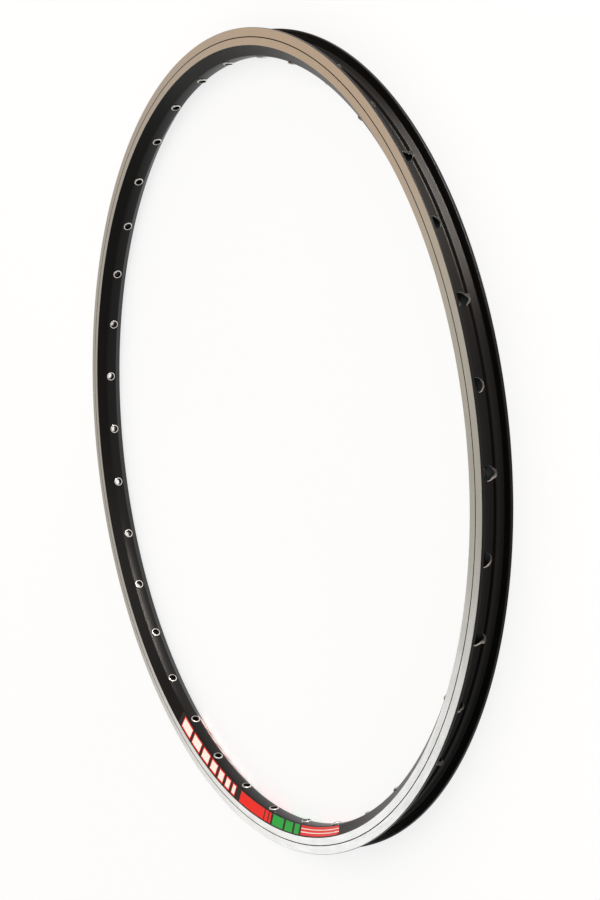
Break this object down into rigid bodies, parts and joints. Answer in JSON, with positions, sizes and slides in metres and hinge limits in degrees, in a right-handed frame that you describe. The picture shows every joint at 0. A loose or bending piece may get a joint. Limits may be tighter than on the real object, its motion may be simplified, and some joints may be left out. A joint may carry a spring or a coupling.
{
  "type": "bicycle rim",
  "caption": "Double-wall bicycle rim with hooked flanges, turned brake tracks, wear grooves, eyeletted spoke holes and a valve hole, for lacing into a wheel.",
  "frame": {"origin": "centre of the wheel, on the axle and on the middle plane of the rim", "axes": "+Z along the axle, upwards as the rim lies flat; +X through the valve hole"},
  "size_m": [0.5709, 0.571, 0.021],
  "materials": {
    "anodised_aluminium": "black satin anodising, with bare turned brake tracks",
    "eyelet_steel": "bright plated",
    "bare_aluminium": "as extruded",
    "label_film": "printed film"
  },
  "bodies": {
    "root": {"rim_hoop": "anodised_aluminium", "flange_upper": "anodised_aluminium", "flange_lower": "anodised_aluminium", "joint_sleeve": "bare_aluminium", "label_upper": "label_film", "label_lower": "label_film"}
  },
  "joints": []
}
